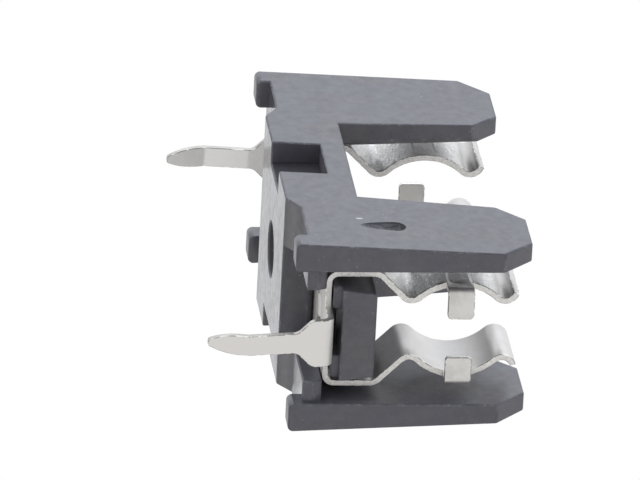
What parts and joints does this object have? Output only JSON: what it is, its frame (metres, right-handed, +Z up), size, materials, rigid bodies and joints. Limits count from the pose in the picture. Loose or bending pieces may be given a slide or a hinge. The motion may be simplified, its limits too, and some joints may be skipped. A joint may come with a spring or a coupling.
{
  "type": "pcb fuse holder",
  "caption": "Open board-mount holder for a 5 x 20 mm fuse: a moulded base with tall ears carries folded spring clips with solder pins.",
  "frame": {"origin": "on the board's face, in the middle of the fixing hole", "axes": "+X along the fuse, +Y across it, +Z up from the board"},
  "size_m": [0.0234, 0.0098, 0.0156],
  "materials": {
    "plastic": "matte charcoal grey, fine moulded grain",
    "tinned_metal": "satin tin plating"
  },
  "bodies": {
    "root": {"moulded_base": "plastic", "left_contact_clip": "tinned_metal", "right_contact_clip": "tinned_metal"}
  },
  "joints": []
}
